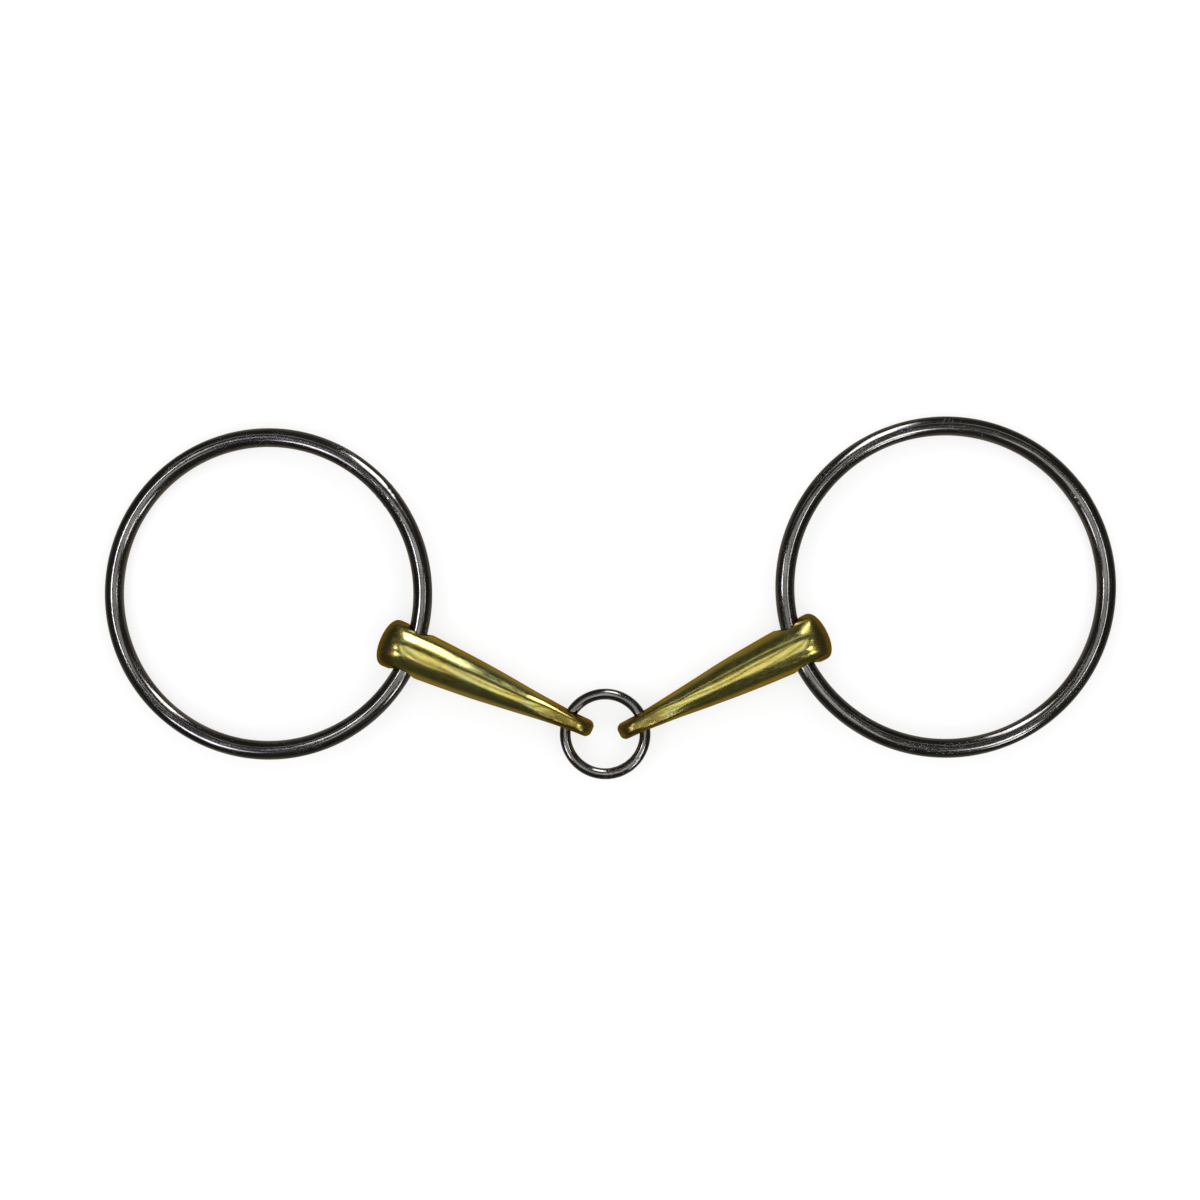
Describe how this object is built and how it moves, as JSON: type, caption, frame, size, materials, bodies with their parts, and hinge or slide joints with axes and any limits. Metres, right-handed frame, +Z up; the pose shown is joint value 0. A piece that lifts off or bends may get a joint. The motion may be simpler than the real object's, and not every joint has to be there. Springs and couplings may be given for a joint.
{
  "type": "snaffle bit",
  "caption": "Loose-ring snaffle bit: tapering brass arms joined by a small steel link ring, with a large steel cheek ring running through each outer end for bridle and reins.",
  "frame": {"origin": "middle of the bit's bounding box, on the surface that it lies on", "axes": "+X from the left cheek ring to the right one, +Y the way the mouthpiece's V opens, +Z up from the surface"},
  "size_m": [0.2896, 0.1035, 0.0142],
  "materials": {
    "cheek_ring_steel": "polished drawn stainless steel wire, faint lines along the wire and light scratches",
    "link_ring_steel": "polished drawn stainless steel wire",
    "arm_brass": "polished yellow copper alloy, lightly scratched, darker towards the ends"
  },
  "bodies": {
    "centre_ring": {"centre_ring": "link_ring_steel"},
    "left_arm": {"left_arm": "arm_brass"},
    "right_arm": {"right_arm": "arm_brass"},
    "left_cheek_ring": {"left_cheek_ring": "cheek_ring_steel"},
    "right_cheek_ring": {"right_cheek_ring": "cheek_ring_steel"}
  },
  "joints": [
    {"name": "left_arm_swing", "type": "hinge", "parent": "centre_ring", "child": "left_arm", "pos_m": [-0.00054, -0.03876, 0.0056], "axis": [0, 0, -1], "range_deg": [-68.5, 21.5]},
    {"name": "right_arm_swing", "type": "hinge", "parent": "centre_ring", "child": "right_arm", "pos_m": [-0.00054, -0.03876, 0.0056], "axis": [0, 0, 1], "range_deg": [-71.4, 18.6]},
    {"name": "left_ring_swing", "type": "hinge", "parent": "left_arm", "child": "left_cheek_ring", "pos_m": [-0.05591, -0.01517, 0.0071], "axis": [0.3987, 0.9171, 0], "range_deg": [0, 100]},
    {"name": "right_ring_swing", "type": "hinge", "parent": "right_arm", "child": "right_cheek_ring", "pos_m": [0.05398, -0.01347, 0.0071], "axis": [0.4446, -0.8957, 0], "range_deg": [0, 100]}
  ]
}
